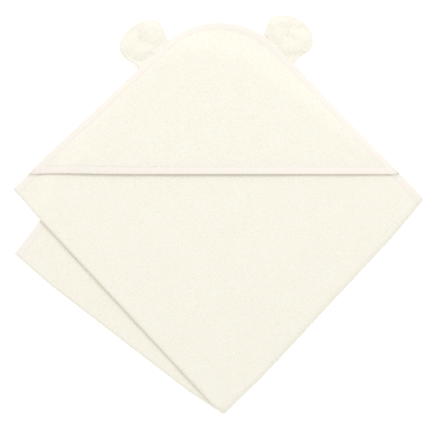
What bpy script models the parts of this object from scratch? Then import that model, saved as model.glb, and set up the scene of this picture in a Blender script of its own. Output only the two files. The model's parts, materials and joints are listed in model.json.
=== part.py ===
"""Hooded baby towel with bear ears, folded in quarters: terry layers, hood, edge tape, stitching and ears.

The towel is a square of terry. Its first fold lays one half behind the other, and the crease across that
lays the back half behind the front half. The hood is a triangle of terry sewn over the top corner.
Lengths are in metres. The halves' frames start at the square's centre, which is the bundle's bottom corner.
"""

from math import cos, pi, radians, sin

import bmesh
import bpy
import numpy as np
from mathutils import Matrix, Vector

# The cloth
TERRY = 0.0034  # thickness of one layer of terry
INNER_GAP = 0.0009  # between the two layers of one half
MIDDLE_GAP = 0.0006  # between the front half and the back half
TOUCH = 0.0003  # between pieces that touch

# The folded square
HALF_SIDE = 0.350  # first fold to the hem opposite it
FRONT_FOLD = 0.374  # length of the first fold on the front half
BACK_FOLD = 0.320  # and on the back half, which the crease leaves shorter
FRONT_HEM = 0.349  # top corner to the crease along the front half's right hem
OUT_OF_SQUARE = radians(0.95)  # how far that hem leans outwards
FRONT_ANGLE = radians(43.0)  # the front half's upper left hem from +X
BACK_TURN = radians(9.4)  # the back half is turned this far, so its corner peeps out
CORNER_RADIUS = 0.093  # every corner of the square is rounded
CORNER_STEPS = 10
BEND_STEPS = 4  # facets in each quarter of the first fold
CREASE_STEPS = 6
CREASE_END = radians(86)  # each half's share of the crease's half circle, less a little room

# Edge tape, folded over the hem, and its stitching
TAPE_WIDTH = 0.010
TAPE_WALL = 0.0008
TONGUE = 0.0010  # the hem's thickness inside the tape
FOLD_END = 0.0046  # the tape stops this far from the first fold
CREASE_STOP = 0.0088  # and this far from the crease
THREAD_RADIUS = 0.0002
OUTER_STITCH = 0.0086  # inset of the outer layer's stitch line
INNER_STITCH = 0.0074

# Hood
LIP_HEIGHT = 0.2915  # the lip, above the bottom corner
LIP_RISE = 0.010  # the lip stands off the towel at its middle
LIP_THREAD_RADIUS = 0.00025
LIP_THREAD_SHARE = 0.985  # of the lip's length that is stitched

# Ears: a disc cut off by its base seam, a pillow in thickness
EAR_RADIUS = 0.030
EAR_CENTRE = 0.0175  # the disc's centre, out from the hem
EAR_LEAN = 0.003  # and along it, towards the top
EAR_RIM = 0.0017  # half thickness at the seam round the ear
EAR_GAP = 0.0005  # base to hem
EAR_COVER = 0.0014
LEFT_EAR_RUN = 0.1134  # top corner to the middle of the ear's base
RIGHT_EAR_RUN = 0.0966
LEFT_EAR_SAG = 0.0039  # the hem droops here where the back half doesn't reach under it, and the ear with it
RIGHT_EAR_SAG = 0.0078
EAR_AXIS_OUT = 0.0065
EAR_PILLOW = ((1.0, 0.0), (0.96, 0.38), (0.88, 0.62), (0.72, 0.86), (0.5, 1.0), (0.25, 0.93), (0.1, 0.72))
EAR_HALF = 0.0060  # half thickness at the fullest
EAR_ARC_STEPS = 30
EAR_BASE_STEPS = 8
LEFT_TACK = (0.0005, 0.0288)  # the tack's place on the ear: along the hem and out from it
RIGHT_TACK = (0.0068, 0.0205)
TACK_RADIUS = 0.0004  # of the thread through the ear
TACK_BAR_RADIUS = 0.0005  # and of the stitch on each face
TACK_BAR = 0.009
ROD_ROLL = radians(15)  # turns a rod's facets off those of the rod it joins

# Care label
LABEL_WIDTH = 0.025
LABEL_LENGTH = 0.045
LABEL_THICKNESS = 0.0003
LABEL_RUN = 0.150  # from the first fold

MIDDLE = 2 * TERRY + INNER_GAP + MIDDLE_GAP / 2  # height of the plane between the halves
INNER_LEVEL = MIDDLE_GAP / 2 + TERRY / 2  # inner layer's middle, off that plane
OUTER_LEVEL = INNER_LEVEL + TERRY + INNER_GAP  # outer layer's middle
BEND = (OUTER_LEVEL - INNER_LEVEL) / 2  # the first fold's radius, at the middle of the cloth
BEND_LEVEL = (OUTER_LEVEL + INNER_LEVEL) / 2
BEND_CENTRE = BEND + TERRY / 2
BEND_RUN = pi / 2 * BEND  # cloth in a quarter turn
FLAT_SHIFT = BEND_CENTRE - BEND_RUN  # plan distance less cloth distance
CREASE_REACH = MIDDLE  # the crease's outer radius
FRONT_TOP = MIDDLE + OUTER_LEVEL + TERRY / 2
HOOD_LEVEL = FRONT_TOP + TOUCH + TERRY / 2  # hood's middle where it is sewn down
EAR_LEVEL = (FRONT_TOP - TERRY + HOOD_LEVEL + TERRY / 2) / 2  # middle of the seam's stack, undrooped

for leftover in list(bpy.data.objects):
    bpy.data.objects.remove(leftover)


# ---------------------------------------------------------------- collections, materials, objects


def new_collection(name, shown):
    made = bpy.data.collections.new(name)
    bpy.context.scene.collection.children.link(made)
    made.hide_render = not shown
    return made


TOWEL = new_collection("hooded_baby_towel", True)
CUTTERS = new_collection("cutters", False)


def finish_of(name, colour, roughness):
    made = bpy.data.materials.new(name)
    made.use_nodes = True
    shader = made.node_tree.nodes["Principled BSDF"]
    shader.inputs["Base Color"].default_value = (*colour, 1)
    shader.inputs["Roughness"].default_value = roughness
    shader.inputs["Metallic"].default_value = 0
    return made


CREAM_TERRY = finish_of("cream_cotton_terry", (0.96, 0.92, 0.82), 0.95)
CREAM_TAPE = finish_of("cream_cotton_tape", (0.95, 0.89, 0.79), 0.85)
THREAD = finish_of("cream_thread", (0.94, 0.88, 0.77), 0.6)
WADDING = finish_of("white_wadding", (0.93, 0.93, 0.92), 1.0)
LABEL = finish_of("white_label_satin", (0.95, 0.95, 0.94), 0.5)


def add_object(name, mesh, finish):
    made = bpy.data.objects.new(name, mesh)
    TOWEL.objects.link(made)
    if finish:
        mesh.materials.append(finish)
    return made


def shade(obj):
    obj.data.shade_smooth()
    obj.data.set_sharp_from_angle(angle=radians(30))
    return obj


def combine(obj, other, operation):
    """Cuts or joins obj by other, which becomes a helper."""
    if other.name in TOWEL.objects:
        TOWEL.objects.unlink(other)
        CUTTERS.objects.link(other)
    other.hide_render = True
    other.display_type = "WIRE"
    step = obj.modifiers.new(other.name, "BOOLEAN")
    step.operation = operation
    step.object = other
    return obj


# ---------------------------------------------------------------- outlines


def direction(angle):
    return np.array([cos(angle), sin(angle)])


def turned(point, angle):
    c, s = cos(angle), sin(angle)
    return np.array([c * point[0] - s * point[1], s * point[0] + c * point[1]])


def unit(vector):
    return vector / np.linalg.norm(vector)


def left_of(vector):
    return np.array([-vector[1], vector[0]])


def meet(line, other):
    """Where two lines cross; a line is a point and a direction."""
    (p, d), (q, e) = line, other
    return p + d * np.linalg.solve(np.array([d, -e]).T, q - p)[0]


def make_half(angle, fold_length, crease_point, side):
    """One half of the bundle in its own frame: x from the first fold into the cloth, y along that fold.
    Its hem runs from the fold to the rounded corner, and on to the crease."""
    fold_end = np.array([0, fold_length])
    corner = np.array([HALF_SIDE, fold_length])
    return {
        "angle": angle,
        "side": side,
        "hem": ((fold_end, unit(corner - fold_end)), (crease_point, unit(corner - crease_point))),
        "crease": unit(crease_point),
    }


LEAN = np.array([sin(OUT_OF_SQUARE), -cos(OUT_OF_SQUARE)])
FRONT_CREASE_POINT = np.array([HALF_SIDE, FRONT_FOLD]) + FRONT_HEM * LEAN
FRONT = make_half(FRONT_ANGLE, FRONT_FOLD, FRONT_CREASE_POINT, 1)
BACK = make_half(FRONT_ANGLE + BACK_TURN, BACK_FOLD, turned(FRONT_CREASE_POINT, -BACK_TURN), -1)


def crease_inset(half, x, y):
    return float(left_of(half["crease"]) @ np.array([x, y]))


def crease_line(half, inset):
    return left_of(half["crease"]) * inset, half["crease"]


def fold_line(x):
    return np.array([x, 0.0]), np.array([0.0, 1.0])


def hem_line(half, inset, start, end):
    """The hem moved in by inset, from the line start, round the corner, to the line end."""
    (a, along), (b, back) = half["hem"]
    first = a - left_of(along) * inset, along
    second = b + left_of(back) * inset, back
    corner = meet(first, second)
    middle = unit(-along - back)
    slope = float(np.arccos(middle @ -along))
    radius = CORNER_RADIUS - inset
    centre = corner + middle * radius / sin(slope)
    sweep = pi - 2 * slope
    spoke = left_of(along) * radius
    arc = [centre + turned(spoke, -sweep * k / CORNER_STEPS) for k in range(CORNER_STEPS + 1)]
    return [meet(first, start), *arc, meet(second, end)]


def slab(name, outline, low, high, finish):
    """A plate with this outline between two heights."""
    mesh = bpy.data.meshes.new(name)
    made = bmesh.new()
    face = made.faces.new([made.verts.new((x, y, low)) for x, y in outline])
    raised = bmesh.ops.extrude_face_region(made, geom=[face])["geom"]
    upper = [v for v in raised if isinstance(v, bmesh.types.BMVert)]
    bmesh.ops.translate(made, verts=upper, vec=(0, 0, high - low))
    bmesh.ops.recalc_face_normals(made, faces=made.faces[:])
    made.to_mesh(mesh)
    made.free()
    return add_object(name, mesh, finish)


def cut_lines(obj, lines, wanted=lambda x: True):
    """Adds edges to obj where it crosses upright planes; wanted picks faces by their middle's x."""
    made = bmesh.new()
    made.from_mesh(obj.data)
    for point, along in lines:
        faces = [f for f in made.faces if wanted(f.calc_center_median().x)]
        edges = list({e for f in faces for e in f.edges})
        verts = list({v for f in faces for v in f.verts})
        normal = left_of(along)
        bmesh.ops.bisect_plane(
            made, geom=verts + edges + faces, dist=1e-7, plane_co=(*point, 0), plane_no=(*normal, 0)
        )
    made.to_mesh(obj.data)
    made.free()


def shape(obj, rule):
    """Moves each vertex by rule, and turns the faces outwards again."""
    made = bmesh.new()
    made.from_mesh(obj.data)
    for vertex in made.verts:
        vertex.co = rule(*vertex.co)
    bmesh.ops.recalc_face_normals(made, faces=made.faces[:])
    made.to_mesh(obj.data)
    made.free()
    return shade(obj)


# ---------------------------------------------------------------- the folded cloth


def folded_place(half, c, y, n):
    """Where a point of the flat cloth lies once folded: c across the first fold, y along it, n off centre."""
    radius = BEND + n
    if abs(c) < BEND_RUN:
        x = BEND_CENTRE - radius * cos(c / BEND)
        level = BEND_LEVEL + radius * sin(c / BEND)
    else:
        x = BEND_CENTRE + abs(c) - BEND_RUN
        level = BEND_LEVEL + (radius if c > 0 else -radius)
    inset = crease_inset(half, x, y)
    if inset < CREASE_REACH:
        angle = (CREASE_REACH - inset) / OUTER_LEVEL
        moved = CREASE_REACH - level * sin(angle) - inset
        x, y = np.array([x, y]) + left_of(half["crease"]) * moved
        level *= cos(angle)
    return *turned((x, y), half["angle"]), MIDDLE + half["side"] * level


def folded_cloth(name, half, inset, short, thickness, finish):
    """Both layers of one half as a single sheet: outline flat, edges where it bends, then folded."""
    end = CREASE_REACH - OUTER_LEVEL * CREASE_END + short
    edge = hem_line(half, inset, fold_line(FLAT_SHIFT), crease_line(half, end))
    outer = [(x - FLAT_SHIFT, y) for x, y in edge]
    centre = meet(fold_line(FLAT_SHIFT), crease_line(half, end))
    outer += [(0.0, centre[1])]
    outline = outer + [(-c, y) for c, y in outer[-2:0:-1]]
    sheet = slab(name, outline, -thickness / 2, thickness / 2, finish)
    bends = [BEND_RUN * k / BEND_STEPS for k in range(-BEND_STEPS, BEND_STEPS + 1)]
    cut_lines(sheet, [fold_line(c) for c in bends])
    for mirror in (1, -1):
        across = np.array([mirror, 1.0])
        creases = []
        for k in range(CREASE_STEPS):
            point, along = crease_line(half, CREASE_REACH - OUTER_LEVEL * CREASE_END * k / CREASE_STEPS)
            creases.append(((point - np.array([FLAT_SHIFT, 0])) * across, along * across))
        cut_lines(sheet, creases, lambda x, m=mirror: x * m > 0)
    return shape(sheet, lambda c, y, n: folded_place(half, c, y, n))


def panel(name, half):
    """One half's terry, thinned to a tongue along its hem, where the tape grips it."""
    cloth = folded_cloth(name, half, TAPE_WIDTH + TOUCH, 0, TERRY, CREAM_TERRY)
    tongue = folded_cloth(name + "_tongue", half, TAPE_WALL + TOUCH, 0.001, TONGUE, CREAM_TERRY)
    return combine(cloth, tongue, "UNION")


def band(name, half, insets, levels, start, end, finish=CREAM_TAPE):
    """A strip along the hem between two insets, world-placed."""
    outer, inner = (hem_line(half, inset, start, end) for inset in insets)
    outline = [turned(p, half["angle"]) for p in outer + inner[::-1]]
    return slab(name, outline, *levels, finish)


def edge_tape(name, half, level):
    """Tape folded over one layer's hem: a band with a slot, open inwards, for the tongue."""
    start, end = fold_line(FOLD_END), crease_line(half, CREASE_STOP)
    middle = MIDDLE + half["side"] * level
    tape = band(name, half, (0, TAPE_WIDTH), (middle - TERRY / 2, middle + TERRY / 2), start, end)
    half_slot = TERRY / 2 - TAPE_WALL
    ends = fold_line(FOLD_END / 2), crease_line(half, CREASE_STOP / 2)
    reach = TAPE_WALL, TAPE_WIDTH + TOUCH
    slot = band(name + "_slot", half, reach, (middle - half_slot, middle + half_slot), *ends)
    return combine(tape, slot, "DIFFERENCE")


def tube(name, points, radius, finish):
    """A thread as a mesh tube along points."""
    curve = bpy.data.curves.new(name, "CURVE")
    curve.dimensions = "3D"
    curve.bevel_depth = radius
    curve.bevel_resolution = 1
    curve.use_fill_caps = True
    line = curve.splines.new("POLY")
    line.points.add(len(points) - 1)
    for point, place in zip(line.points, points):
        point.co = (*place, 1)
    helper = bpy.data.objects.new(name + "_line", curve)
    TOWEL.objects.link(helper)
    graph = bpy.context.evaluated_depsgraph_get()
    mesh = bpy.data.meshes.new_from_object(helper.evaluated_get(graph))
    bpy.data.objects.remove(helper)
    made = bmesh.new()
    made.from_mesh(mesh)
    bmesh.ops.remove_doubles(made, verts=made.verts[:], dist=1e-6)
    made.to_mesh(mesh)
    made.free()
    return shade(add_object(name, mesh, finish))


def hem_stitch(name, half, inset):
    """The line of thread that holds a tape, in the gap between the half's two layers."""
    line = hem_line(half, inset, fold_line(FOLD_END), crease_line(half, CREASE_STOP))
    height = MIDDLE + half["side"] * BEND_LEVEL
    return tube(name, [(*turned(p, half["angle"]), height) for p in line], THREAD_RADIUS, THREAD)


# ---------------------------------------------------------------- hood


def lip_line(up):
    """A level line above the lip, in the front half's frame."""
    return turned((0, LIP_HEIGHT + up), -FRONT_ANGLE), direction(-FRONT_ANGLE)


LEG_LEFT, LEG_RIGHT = FRONT["hem"]
TOP_CORNER = meet(LEG_LEFT, LEG_RIGHT)
LIP_LEFT, LIP_RIGHT = meet(LEG_LEFT, lip_line(0)), meet(LEG_RIGHT, lip_line(0))
LIP_MIDDLE = (LIP_LEFT + LIP_RIGHT) / 2


def inside_leg(leg, point):
    return abs(float(left_of(leg[1]) @ (point - leg[0])))


def tent(x, y):
    """The hood's height over its seams: none at its two sewn sides, LIP_RISE at the lip's middle."""
    point = turned((x, y), -FRONT_ANGLE)
    return LIP_RISE * min(inside_leg(leg, point) / inside_leg(leg, LIP_MIDDLE) for leg in FRONT["hem"])


def hood_slab(name, inset, ups, thickness, finish):
    """A piece of the hood between two heights over its lip, or up to the top where the second is None."""
    low, high = ups
    line = hem_line(FRONT, inset, lip_line(low), lip_line(low))
    if high is not None:
        top = hem_line(FRONT, inset, lip_line(high), lip_line(high))
        line = [line[0], top[0], top[-1], line[-1]]
    outline = [turned(p, FRONT_ANGLE) for p in line]
    piece = slab(name, outline, -thickness / 2, thickness / 2, finish)
    ridge = turned(LIP_MIDDLE, FRONT_ANGLE), turned(unit(TOP_CORNER - LIP_MIDDLE), FRONT_ANGLE)
    cut_lines(piece, [ridge])
    return shape(piece, lambda x, y, n: (x, y, HOOD_LEVEL + n + tent(x, y)))


def make_hood():
    side = TAPE_WALL + TOUCH
    cloth = hood_slab("hood_panel", side, (TAPE_WIDTH + TOUCH, None), TERRY, CREAM_TERRY)
    reach = TAPE_WALL + TOUCH, TAPE_WIDTH + 2 * TOUCH
    combine(cloth, hood_slab("hood_panel_tongue", side + TOUCH, reach, TONGUE, CREAM_TERRY), "UNION")
    tape = hood_slab("hood_lip_binding", side, (0, TAPE_WIDTH), TERRY, CREAM_TAPE)
    slot_reach = TAPE_WALL, TAPE_WIDTH + TOUCH
    slot = hood_slab("hood_lip_slot", 0, slot_reach, TERRY - 2 * TAPE_WALL, CREAM_TAPE)
    combine(tape, slot, "DIFFERENCE")
    ends = [meet(leg, lip_line(OUTER_STITCH)) for leg in FRONT["hem"]]
    middle = meet((LIP_MIDDLE, unit(TOP_CORNER - LIP_MIDDLE)), lip_line(OUTER_STITCH))
    inner = [middle + (end - middle) * LIP_THREAD_SHARE for end in ends]
    height = HOOD_LEVEL + TERRY / 2 + LIP_THREAD_RADIUS + TOUCH
    route = [turned(p, FRONT_ANGLE) for p in (inner[0], middle, inner[1])]
    thread = tube("hood_lip_stitch", [(*p, height + tent(*p)) for p in route], LIP_THREAD_RADIUS, THREAD)
    return [cloth, tape, thread]


def front_tape():
    """The front layer's tape, with a wall up the hood's sewn sides."""
    tape = edge_tape("front_edge_binding", FRONT, OUTER_LEVEL)
    levels = FRONT_TOP - TAPE_WALL / 2, HOOD_LEVEL + TERRY / 2
    wall = band("hood_seam_wall", FRONT, (0, TAPE_WALL), levels, lip_line(0), lip_line(0))
    return combine(tape, wall, "UNION")


# ---------------------------------------------------------------- ears


def ear_outline(margin):
    """The ear in plan, x along the hem towards the top and y outwards, drawn in by margin."""
    radius = EAR_RADIUS - margin
    base = EAR_GAP + margin
    drop = EAR_CENTRE - base
    start = -pi / 2 + np.arccos(drop / radius)
    sweep = 2 * pi - 2 * np.arccos(drop / radius)
    centre = np.array([EAR_LEAN, EAR_CENTRE])
    arc = [centre + radius * direction(start + sweep * k / EAR_ARC_STEPS) for k in range(EAR_ARC_STEPS + 1)]
    steps = range(1, EAR_BASE_STEPS)
    return arc + [arc[-1] + (arc[0] - arc[-1]) * k / EAR_BASE_STEPS for k in steps]


def ear_rings(margin, rim, full, tack):
    """Rings of the pillow's upper face: drawn in towards the tack, and rising to full."""
    middle = np.array(tack)
    edge = ear_outline(margin)
    return [
        [(*(middle + (p - middle) * share), rim + (full - rim) * rise) for p in edge]
        for share, rise in EAR_PILLOW
    ]


def skin(name, rings, close_bottom, finish):
    """Faces between neighbouring rings, closed at the last ring and, if asked, at the first. Rings run
    anticlockwise and climb, so the faces point outwards."""
    made = bmesh.new()
    loops = [[made.verts.new(p) for p in ring] for ring in rings]
    for low, high in zip(loops, loops[1:]):
        count = len(low)
        for k in range(count):
            made.faces.new([low[k], low[(k + 1) % count], high[(k + 1) % count], high[k]])
    made.faces.new(loops[-1])
    if close_bottom:
        made.faces.new(loops[0][::-1])
    mesh = bpy.data.meshes.new(name)
    made.to_mesh(mesh)
    made.free()
    return shade(add_object(name, mesh, finish))


def rod(name, radius, length, place, finish, turn=0):
    """A cylinder with its middle at place."""
    mesh = bpy.data.meshes.new(name)
    made = bmesh.new()
    bmesh.ops.create_cone(made, cap_ends=True, segments=12, radius1=radius, radius2=radius, depth=length)
    rolled = Matrix.Rotation(turn, 4, "X") @ Matrix.Rotation(ROD_ROLL, 4, "Z")
    made.transform(Matrix.Translation(place) @ rolled)
    made.to_mesh(mesh)
    made.free()
    return shade(add_object(name, mesh, finish))


def ear_cover(name, up, tack):
    """One face of the ear: a bowl of terry, open at the middle plane."""
    rings = ear_rings(0, EAR_RIM, EAR_HALF, tack)
    edge = [(x, y, TOUCH / 2) for x, y, _ in rings[0]]
    cover = skin(name, [edge, *rings], False, CREAM_TERRY)
    wall = cover.modifiers.new("wall", "SOLIDIFY")
    wall.thickness = EAR_COVER
    wall.offset = -1
    if up < 0:
        cover.data.transform(Matrix.Scale(-1, 4, (0, 0, 1)))
        cover.data.flip_normals()
    return cover


def make_ear(side, tack):
    """The four pieces of one ear in the ear's own frame, then their cutters."""
    centre = Vector((*tack, 0))
    front, back = ear_cover(side + "_ear_front", 1, tack), ear_cover(side + "_ear_back", -1, tack)
    margin = EAR_COVER + TOUCH
    upper = ear_rings(margin, TOUCH, EAR_HALF - EAR_COVER - TOUCH, tack)[1:]
    lower = [[(x, y, -z) for x, y, z in ring] for ring in upper[::-1]]
    filling = skin(side + "_ear_wadding", [*lower, *upper], True, WADDING)
    holes = rod(side + "_ear_hole", TACK_RADIUS + TOUCH, 4 * EAR_HALF, centre, None)
    for piece in (front, back, filling):
        combine(piece, holes, "DIFFERENCE")
    dip = EAR_RIM + (EAR_HALF - EAR_RIM) * EAR_PILLOW[-2][1] + TACK_BAR_RADIUS
    strand = rod(side + "_ear_tack", TACK_RADIUS, 2 * dip, centre, THREAD)
    helpers = [holes]
    for up in (1, -1):
        end = centre + Vector((0, 0, up * dip))
        bar = rod(f"{side}_ear_bar_{up}", TACK_BAR_RADIUS, TACK_BAR, end, THREAD, pi / 2)
        combine(strand, bar, "UNION")
        helpers.append(bar)
    return [front, back, filling, strand], helpers


def set_ear(side, leg, run, sag, pieces):
    """Puts an ear on a leg of the hood, run from the top corner; its frame's x points to that corner."""
    towards_top = leg[1]
    place = turned(TOP_CORNER - towards_top * run, FRONT_ANGLE)
    along = turned(towards_top, FRONT_ANGLE)
    outwards = left_of(along) if side == "left" else -left_of(along)
    frame = Matrix.Identity(4)
    frame.col[0] = (*along, 0, 0)
    frame.col[1] = (*outwards, 0, 0)
    frame.col[2] = (0, 0, 1, 0)
    frame.translation = (*place, EAR_LEVEL - sag)
    for piece in pieces:
        piece.data.transform(frame)
        if frame.determinant() < 0:
            piece.data.flip_normals()
    return frame


# ---------------------------------------------------------------- putting it together


def axis_empty(name, place, parent=None):
    made = bpy.data.objects.new(name, None)
    made.location = place
    made.empty_display_size = 0.02
    TOWEL.objects.link(made)
    if parent:
        made.parent = parent
        made.matrix_parent_inverse = Matrix.Translation(parent.location).inverted()
    return made


def hang(parts, empty):
    for part in parts:
        part.parent = empty
        part.matrix_parent_inverse = Matrix.Translation(empty.location).inverted()


def make_label():
    """A blank woven label, held by the hem between the front half's layers."""
    top = FRONT_FOLD - TAPE_WIDTH - TOUCH
    outline = [(LABEL_RUN, top), (LABEL_RUN + LABEL_WIDTH, top)]
    outline += [(x, top - LABEL_LENGTH) for x, _ in outline[::-1]]
    level = MIDDLE + BEND_LEVEL
    placed = [turned(p, FRONT_ANGLE) for p in outline]
    return slab("care_label", placed, level - LABEL_THICKNESS / 2, level + LABEL_THICKNESS / 2, LABEL)


def build():
    front_parts = [panel("front_panel", FRONT), front_tape()]
    front_parts += [edge_tape("front_inner_binding", FRONT, INNER_LEVEL)]
    front_parts += [hem_stitch("front_edge_stitch", FRONT, OUTER_STITCH)]
    front_parts += [hem_stitch("front_inner_stitch", FRONT, INNER_STITCH), make_label()]
    back_parts = [panel("back_panel", BACK)]
    back_parts += [edge_tape("back_edge_binding", BACK, OUTER_LEVEL)]
    back_parts += [edge_tape("back_inner_binding", BACK, INNER_LEVEL)]
    back_parts += [hem_stitch("back_edge_stitch", BACK, OUTER_STITCH)]
    back_parts += [hem_stitch("back_inner_stitch", BACK, INNER_STITCH)]
    hood_parts = make_hood()
    origin = axis_empty("towel_origin", (0, 0, 0))
    hang(front_parts, origin)
    hang(back_parts, axis_empty("back_half_axis", (0, 0, MIDDLE), origin))
    hood_edge = hem_line(FRONT, TAPE_WALL + TOUCH, lip_line(0), lip_line(0))
    hood_top = max(turned(p, FRONT_ANGLE)[1] for p in hood_edge)
    hang(hood_parts, axis_empty("hood_axis", (0, hood_top, HOOD_LEVEL + TERRY / 2), origin))
    left = "left", LEG_LEFT, LEFT_EAR_RUN, LEFT_EAR_SAG, LEFT_TACK
    right = "right", LEG_RIGHT, RIGHT_EAR_RUN, RIGHT_EAR_SAG, RIGHT_TACK
    for side, leg, run, sag, tack in (left, right):
        pieces, helpers = make_ear(side, tack)
        frame = set_ear(side, leg, run, sag, pieces + helpers)
        axis = frame @ Vector((0, EAR_AXIS_OUT, 0))
        hang(pieces + helpers, axis_empty(side + "_ear_axis", axis, origin))
    for cutter in CUTTERS.objects:
        if cutter.parent is None:
            hang([cutter], origin)
    return origin


def centre_on_origin(origin):
    """Moves the whole towel so that its box stands on the middle of the ground plane."""
    bpy.context.view_layer.update()
    graph = bpy.context.evaluated_depsgraph_get()
    corners = []
    for part in TOWEL.objects:
        if part.type == "MESH":
            seen = part.evaluated_get(graph)
            corners += [seen.matrix_world @ v.co for v in seen.data.vertices]
    points = np.array(corners)
    low, high = points.min(axis=0), points.max(axis=0)
    origin.location = (-(low[0] + high[0]) / 2, -(low[1] + high[1]) / 2, -low[2])
    bpy.context.view_layer.update()


centre_on_origin(build())
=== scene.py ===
# %% [markdown]
# # A hooded baby towel with bear ears
#
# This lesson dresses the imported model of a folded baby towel. The frame gives every place and every
# moving part; here each soft piece is made again as real cloth. The towel is one square of cotton terry,
# folded in half and then in quarters, with a hood over its top corner and two small stuffed ears.

import json
from math import cos, pi, radians, sin

import bpy
import numpy as np
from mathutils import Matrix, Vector


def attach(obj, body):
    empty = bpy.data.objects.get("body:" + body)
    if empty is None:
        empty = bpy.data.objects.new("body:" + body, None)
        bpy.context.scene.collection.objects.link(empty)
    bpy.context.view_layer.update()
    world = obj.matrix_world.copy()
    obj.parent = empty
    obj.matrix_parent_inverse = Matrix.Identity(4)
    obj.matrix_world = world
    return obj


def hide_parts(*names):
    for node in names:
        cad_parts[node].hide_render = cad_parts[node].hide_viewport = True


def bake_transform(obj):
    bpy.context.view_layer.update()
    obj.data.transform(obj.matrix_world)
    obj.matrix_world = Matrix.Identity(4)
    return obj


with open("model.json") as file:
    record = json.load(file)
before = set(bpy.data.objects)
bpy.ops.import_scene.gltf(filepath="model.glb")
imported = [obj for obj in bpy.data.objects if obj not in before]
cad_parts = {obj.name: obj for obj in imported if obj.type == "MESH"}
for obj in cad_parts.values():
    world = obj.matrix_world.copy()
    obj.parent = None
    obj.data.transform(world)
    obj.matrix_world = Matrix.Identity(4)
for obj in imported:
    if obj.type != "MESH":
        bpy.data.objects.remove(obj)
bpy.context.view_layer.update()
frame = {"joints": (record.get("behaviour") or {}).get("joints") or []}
JOINTS = {joint["name"]: joint for joint in frame["joints"]}
BOTTOM_CORNER = np.array(JOINTS["back_half_unfold"]["pos_m"][:2])

# %% [markdown]
# ## Camera, floor and light
#
# The towel is seen from straight above, as in a catalogue. A long lens keeps the sides parallel. The
# floor is plain white and glows a little, as a lit table does, so that it stays pale right up to the
# towel. One wide soft light hangs beyond the top of the towel, so the folds shade towards the viewer, and
# a bright room fills the rest.

# %% Camera
VIEW_WIDTH = 0.519
LENS = 100.0
SENSOR = 36.0
VIEW_CENTRE = (-0.0040, -0.0016)
TOWEL_TOP = 0.012

camera_data = bpy.data.cameras.new("camera")
camera_data.lens = LENS
camera_data.sensor_width = SENSOR
camera = bpy.data.objects.new("camera", camera_data)
camera.location = (*VIEW_CENTRE, TOWEL_TOP + VIEW_WIDTH * LENS / SENSOR)
bpy.context.scene.collection.objects.link(camera)
bpy.context.scene.camera = camera
bpy.context.scene.view_settings.view_transform = "Standard"
print("camera height", round(camera.location.z, 3))

# %% Light
key_data = bpy.data.lights.new("softbox", "AREA")
key_data.shape = "DISK"
key_data.size = 1.6
key_data.energy = 23.9
key = bpy.data.objects.new("softbox", key_data)
key.location = (0.12, 1.40, 2.30)
key.rotation_mode = "QUATERNION"
key.rotation_quaternion = (-key.location).to_track_quat("-Z", "Y")
bpy.context.scene.collection.objects.link(key)

room = bpy.data.worlds.new("bright_room")
room.use_nodes = True
room.node_tree.nodes["Background"].inputs["Color"].default_value = (1, 1, 1, 1)
room.node_tree.nodes["Background"].inputs["Strength"].default_value = 0.80
bpy.context.scene.world = room

# %% [markdown]
# ## Helpers for materials
#
# A colour is written as the hex value that a colour picker shows, and one function turns it to the
# linear numbers that Blender works in. Another adds one node with its settings and links.


# %% Colours and nodes
def linear(hex_code):
    """An sRGB hex colour as Blender's linear RGBA."""
    shares = [int(hex_code[k : k + 2], 16) / 255 for k in (0, 2, 4)]
    return (*[s / 12.92 if s <= 0.04045 else ((s + 0.055) / 1.055) ** 2.4 for s in shares], 1.0)


def add_node(tree, kind, inputs=None, **settings):
    """One node; an input is a number, a colour or another node's output."""
    made = tree.nodes.new(kind)
    for name, value in settings.items():
        setattr(made, name, value)
    for name, value in (inputs or {}).items():
        if isinstance(value, bpy.types.NodeSocket):
            tree.links.new(value, made.inputs[name])
        else:
            made.inputs[name].default_value = value
    return made


def new_material(name, roughness):
    """An empty material with its shader, and the shader's node tree."""
    made = bpy.data.materials.new(name)
    made.use_nodes = True
    shader = made.node_tree.nodes["Principled BSDF"]
    shader.inputs["Roughness"].default_value = roughness
    return made, made.node_tree, shader


# %% [markdown]
# ## Cotton terry
#
# Terry is a woven ground with loops of soft yarn on both faces. Bath terry for babies has loops about
# 2 mm across. Each is a small round bump, so a cell pattern of that size gives the height, and finer
# noise gives the single fibres. The loops lean in patches, and the slow change of shade that this gives
# is painted into the colour. The dips between loops are painted a little darker too, as painted shade.
# The fuzz catches light at the edges, so the shader has some sheen.

# %% Terry material
LOOP = 0.0021
FIBRE = 0.0007
LOOP_HEIGHT = 0.0007
LAY_PATCH = 0.018
TERRY_LIGHT = linear("F6F3E8")
# Painted shade: the colour of the hollows between loops.
TERRY_PAINTED_SHADE = linear("EEE9D8")

terry, tree, shader = new_material("cotton_terry_cream", 0.95)
place = add_node(tree, "ShaderNodeTexCoord").outputs["Object"]
loops = add_node(tree, "ShaderNodeTexVoronoi", {"Vector": place, "Scale": 1 / LOOP}, feature="SMOOTH_F1")
fibres = add_node(tree, "ShaderNodeTexNoise", {"Vector": place, "Scale": 1 / FIBRE, "Detail": 2.0})
patches = add_node(tree, "ShaderNodeTexNoise", {"Vector": place, "Scale": 1 / LAY_PATCH, "Detail": 3.0})
loop_height = add_node(tree, "ShaderNodeMath", {0: 1.0, 1: loops.outputs["Distance"]}, operation="SUBTRACT")
rough_height = add_node(
    tree,
    "ShaderNodeMath",
    {0: fibres.outputs["Fac"], 1: 0.35, 2: loop_height.outputs["Value"]},
    operation="MULTIPLY_ADD",
)
pile_bump = add_node(
    tree,
    "ShaderNodeBump",
    {"Height": rough_height.outputs["Value"], "Distance": LOOP_HEIGHT, "Strength": 0.55},
)
# Painted shade: darker in the dips between loops, and in slow patches where the pile leans.
depth = add_node(
    tree,
    "ShaderNodeMath",
    {0: patches.outputs["Fac"], 1: 0.35, 2: loops.outputs["Distance"]},
    operation="MULTIPLY_ADD",
)
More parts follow.
